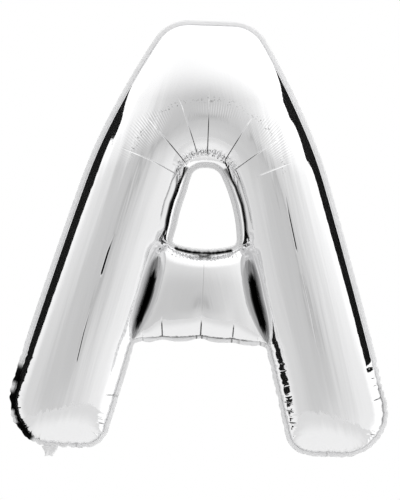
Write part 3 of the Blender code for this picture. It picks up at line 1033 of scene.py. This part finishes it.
def film_material(name, colour, roughness, grain, streak):
    """Bare metallised film: a mirror, faintly clouded, its colour painted black as shade where the mesh's
    painted shade value and its dark specks say.
    """
    graph = material_graph(name)
    shader = graph.shader
    shader.inputs["Metallic"].default_value = 1.0
    where = graph.places()
    cloud = graph.noise(where, CLOUD_SCALE, 3.0)
    graph.feed(shader.inputs["Roughness"], graph.ramp(cloud, 0.3, 0.7, roughness * 0.75, roughness * 1.25))
    shade = graph.mix(cloud, (*(channel * 0.985 for channel in colour), 1.0), (*colour, 1.0))
    painted_specks = graph.times(graph.ramp(graph.noise(where, SPECK_SCALE, 1.0), 0.60, 0.66, 0.0, 0.85),
                         graph.attribute("painted_speck_shade"))
    # Painted shade: the mesh's value and the dark specks colour the film black.
    painted_shade = graph.math("MAXIMUM", graph.attribute("painted_shade"), painted_specks)
    graph.feed(shader.inputs["Base Color"], graph.mix(painted_shade, shade, grey(PAINTED_SHADE_BLACK)))
    graph.normal = graph.bump(graph.noise(where, GRAIN_SCALE, 2.0), grain)
    if streak > 0.0:
        x, _, z = graph.axes(where)
        aside = graph.math("ABSOLUTE", x)
        lean = math.radians(LEG_LEAN)
        across = graph.plus(graph.times(aside, math.cos(lean)), graph.times(z, math.sin(lean)))
        along = graph.math("SUBTRACT", graph.times(z, math.cos(lean)), graph.times(aside, math.sin(lean)))
        joined = graph.nodes.new("ShaderNodeCombineXYZ")
        graph.feed(joined.inputs["X"], graph.times(across, 1.0 / STREAK_GRAIN[0]))
        graph.feed(joined.inputs["Y"], graph.times(along, 1.0 / STREAK_GRAIN[1]))
        graph.feed(joined.inputs["Z"], graph.times(x, 3.0))
        strength = graph.times(graph.ramp(aside, 0.06, 0.13, 0.25, 1.0), graph.attribute("streak"))
        height = graph.times(graph.noise(joined.outputs[0], 1.0, 2.0), strength)
        graph.normal = graph.bump(height, streak, graph.normal)
    graph.links.new(graph.normal, shader.inputs["Normal"])
    return graph


def rippled(graph):
    """Adds the ripples that are finer than the mesh: beside the seams, and the comb over the crown."""
    where = graph.places()
    wander = graph.noise(where, WANDER_SCALE, 2.0)
    turns = graph.times(graph.attribute("seam_run"), 2.0 * math.pi / RIPPLE_LENGTH)
    phase = graph.plus(turns, graph.times(wander, 16.0))
    height = graph.times(graph.math("SINE", phase), graph.attribute("ripple"))
    normal = graph.bump(height, RIPPLE_HEIGHT, graph.normal)
    x, _, z = graph.axes(where)
    angle = graph.math("ARCTAN2", x, graph.math("SUBTRACT", z, COMB_CENTRE))
    teeth = graph.math("SINE", graph.plus(graph.times(angle, COMB_TEETH), graph.times(wander, 5.0)))
    normal = graph.bump(graph.times(teeth, graph.attribute("comb")), COMB_HEIGHT, normal)
    graph.links.new(normal, graph.shader.inputs["Normal"])


def studio_world():
    """A room, greyer behind the camera and brighter on the reader's right, that the camera sees as white."""
    scene = bpy.context.scene
    scene.world = bpy.data.worlds.new("studio")
    scene.world.use_nodes = True
    graph = Graph(scene.world.node_tree)
    graph.nodes.clear()
    x, y, z = graph.axes(graph.places("Generated"))
    upright = graph.plus(z, STUDIO_TILT)
    off_axis = graph.math("SQRT", graph.plus(graph.times(x, x), graph.times(upright, upright)))
    ways = {"angle": graph.math("ARCTAN2", off_axis, graph.times(y, -1.0)), "height": z, "side": x}
    level = 0.0
    for way, start, end, low, high in STUDIO_LEVELS:
        level = graph.plus(level, graph.ramp(ways[way], start, end, low, high))
    to_camera = graph.nodes.new("ShaderNodeLightPath").outputs["Is Camera Ray"]
    ground = graph.nodes.new("ShaderNodeBackground")
    ground.inputs["Color"].default_value = grey(1.0)
    graph.feed(ground.inputs["Strength"], graph.mix(to_camera, level, 1.0, "FLOAT"))
    out = graph.nodes.new("ShaderNodeOutputWorld")
    graph.links.new(ground.outputs[0], out.inputs[0])


def flag_panel(name, corners):
    """A plain black studio panel that only shows in reflections."""
    graph = material_graph(name)
    graph.shader.inputs["Base Color"].default_value = grey(FLAG_BLACK)
    graph.shader.inputs["Roughness"].default_value = 1.0
    graph.shader.inputs["Specular IOR Level"].default_value = 0.0
    panel = mesh_piece(name, corners, [(0, 1, 2, 3)], graph.material)
    panel.visible_camera = False
    panel.visible_diffuse = False
    panel.visible_shadow = False


def pale_floor():
    """A round floor under the letter, its colour painted a little darker at its edge as light falling off."""
    graph = material_graph("pale_floor")
    graph.shader.inputs["Roughness"].default_value = 0.8
    reach = graph.nodes.new("ShaderNodeVectorMath")
    reach.operation = "LENGTH"
    graph.links.new(graph.places(), reach.inputs[0])
    # Painted fall-off of light: lighter in the middle, darker at the edge.
    shade = graph.ramp(reach.outputs["Value"], *FLOOR_SHADE, 0.0, 1.0)
    graph.feed(graph.shader.inputs["Base Color"], graph.mix(shade, grey(FLOOR_MIDDLE), grey(FLOOR_EDGE)))
    turns = np.linspace(0.0, 2.0 * math.pi, FLOOR_SIDES + 1)[:-1]
    rim = [(FLOOR_REACH * math.cos(turn), FLOOR_REACH * math.sin(turn), 0.0) for turn in turns]
    floor = mesh_piece("floor", rim, [tuple(range(FLOOR_SIDES))], graph.material)
    floor.location = (0.0, 0.0, FLOOR_HEIGHT)


outline = closed_outline(half_outline(OUTLINE_TOP, OUTLINE_CORNERS, OUTLINE_BOTTOM), OUTLINE_STEP)
counter = closed_outline(half_outline(COUNTER_TOP, COUNTER_CORNERS, COUNTER_BOTTOM), COUNTER_STEP)
outer = outline - outward(outline) * SEAL_WIDTH
inner = counter + outward(counter) * SEAL_WIDTH
valley = np.array(VALLEY)
valley[0] = inner[nearest_index(inner, valley[0])]
valley[-1] = outer[nearest_index(outer, valley[-1])]
right = even_line(valley, VALLEY_STEP)
left = right * (-1.0, 1.0)
left[0] = inner[nearest_index(inner, left[0])]
left[-1] = outer[nearest_index(outer, left[-1])]
valleys = [right, left]
creases = [(even_line(np.array(row[0]), CREASE_STEP), row[2]) for row in CREASES]
plan, faces, rings, chains = flat_mesh(outer, inner, valleys, creases)
held = np.concatenate(rings + [chain[1:-1] for chain in chains])
floors = [np.zeros(len(ring)) for ring in rings] + [valley_floors(chain)[1:-1] for chain in chains]
floors = np.concatenate(floors)
sag = membrane(plan, faces, held, (floors / fullness(plan[held, 1])) ** 2)
(plan, sag), faces, rings, chains = split([plan, sag], faces, rings, chains)
depth, painted_shade = film_depth(plan, sag, rings, chains, outer, inner, valleys)

creased, black = crease_lift(plan, creases)
seams = [plan[ring] for ring in rings]
nearest, gap = nearest_seam(plan, seams)
over_film = off_seams(plan, outer, inner)
drawn = [pleats(seams[0], 11), np.zeros((len(seams[1]), 2))]
runs = [run_along(seam) for seam in seams]
ways = [outward(seams[0]), -outward(seams[1])]
shift = np.concatenate([-way * part[:, :1] for way, part in zip(ways, drawn)])
plan = plan + shift[nearest] * np.exp(-gap / SCALLOP_REACH)[:, None]
leaned = smooth_step((LEAN_SPAN - np.abs(plan[:, 1] - LEAN_HEIGHT)) / LEAN_FADE)
leaned *= smooth_step(-plan[:, 0] / LEAN_REACH)
plan[:, 0] += COUNTER_LEAN * leaned * np.exp(-distance_to(plan, inner) / LEAN_REACH)
seams = [plan[ring] for ring in rings]
pleat = np.concatenate(drawn)[nearest, 1]
run = np.concatenate(runs)[nearest]
on_counter = nearest >= len(seams[0])
space = np.column_stack((plan[:, 0], -depth, plan[:, 1] - LIFT_HEIGHT))

# How strongly the material's fine ripples, and its dark specks painted as shade in fine crinkles, show at
# each point.
over_counter = on_counter * smooth_step((plan[:, 1] - OVER_COUNTER) / 0.020)
under_counter = on_counter & (plan[:, 1] < UNDER_COUNTER) & (np.abs(plan[:, 0]) < UNDER_HALF_WIDTH)
pucker_arc = over_counter * np.exp(-((gap - ARC_DISTANCE) / ARC_WIDTH) ** 2)
ripple = ARC_RIPPLE * pucker_arc
ripple += UNDER_RIPPLE * under_counter * np.clip(1.0 - gap / UNDER_REACH, 0.0, 1.0) * smooth_step(gap / 0.004)
ripple += PLEAT_RIPPLE * smooth_step(pleat / 0.001) * np.clip(1.0 - gap / 0.020, 0.0, 1.0)
turned = np.arctan2(plan[:, 0], plan[:, 1] - LIFT_HEIGHT - COMB_CENTRE)
radius = np.hypot(plan[:, 0], plan[:, 1] - LIFT_HEIGHT - COMB_CENTRE)
spread = smooth_step((np.abs(turned) - 0.35) / 0.35)
comb = smooth_step((radius - COMB_FROM + 0.020 * spread) / 0.014)
comb *= smooth_step((COMB_TO + 0.016 * spread - radius) / 0.018)
comb *= smooth_step((over_film - 0.030) / 0.030) * smooth_step((COMB_ENDS - np.abs(turned)) / 0.2)
comb *= 0.55 + 0.45 * np.sin(turned * 9.0 + 1.0)
arc = np.exp(-((radius - SPECK_RADIUS + SPECK_BEND * turned**2) / SPECK_WIDTH) ** 2)
arc *= smooth_step((1.25 - np.abs(turned)) / 0.3)
# Dark specks painted as shade in fine crinkles, in an arc over the crown and over the counter.
painted_speck_shade = np.maximum(arc * (0.6 + 0.4 * np.sin(turned * 13.0)), 0.9 * pucker_arc)
calm = smooth_step((gap - CALM_FROM) / CALM_OVER)

films = {row[0]: film_material(*row) for row in FINISHES}
rippled(films["foil"])
# The film's painted shade: black in the slots and beside the seams, and in the creases for each sheet.
painted_slot_and_seam_shade = np.maximum(painted_shade, painted_seam_shade(plan, over_film, run))
for name, side, node, share, seed in SHEETS:
    places = sheet_points(space, plan, faces, gap, pleat, share * creased, seed)
    ways_round = faces if side > 0.0 else faces[:, ::-1]
    piece = mesh_piece(name, places * (1.0, side, 1.0), ways_round, films["foil"].material)
    marks = {"seam_run": run, "ripple": ripple, "comb": comb, "painted_shade": np.maximum(painted_slot_and_seam_shade, share * black),
             "painted_speck_shade": painted_speck_shade, "streak": calm}
    for label, values in marks.items():
        mark(piece, label, values)
    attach(piece, "root")
    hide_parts(node)

for ring, (name, node, finish) in enumerate(SEALS):
    piece = seal_strip(name, seams[ring], ways[ring], drawn[ring][:, 0], runs[ring],
                       films[finish].material, 3 + ring)
    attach(piece, "root")
    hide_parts(node)

neck = neck_tongue("neck_tongue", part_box("inflation_neck"), films["neck_film"].material)
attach(neck, "root")
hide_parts("inflation_neck")

studio_world()
for name, side, low, high in FLAGS:
    corners = [(side * x, y, z) for (x, y), z in (
        (FLAG_NEAR, low), (FLAG_FAR, low), (FLAG_FAR, high), (FLAG_NEAR, high))]
    flag_panel(name, corners)
pale_floor()

camera_data = bpy.data.cameras.new("camera")
camera_data.sensor_fit = "HORIZONTAL"
camera_data.sensor_width = SENSOR_WIDTH
camera_data.lens = SENSOR_WIDTH * CAMERA_DISTANCE / VIEW_WIDTH
camera = bpy.data.objects.new("camera", camera_data)
turn = Matrix.Rotation(math.radians(90.0), 4, "X") @ Matrix.Rotation(math.radians(CAMERA_ROLL), 4, "Z")
aside, lift = CAMERA_ASIDE
camera.matrix_world = Matrix.Translation((aside, -CAMERA_DISTANCE, lift)) @ turn
bpy.context.scene.collection.objects.link(camera)
bpy.context.scene.camera = camera
bpy.context.scene.view_settings.view_transform = "Standard"
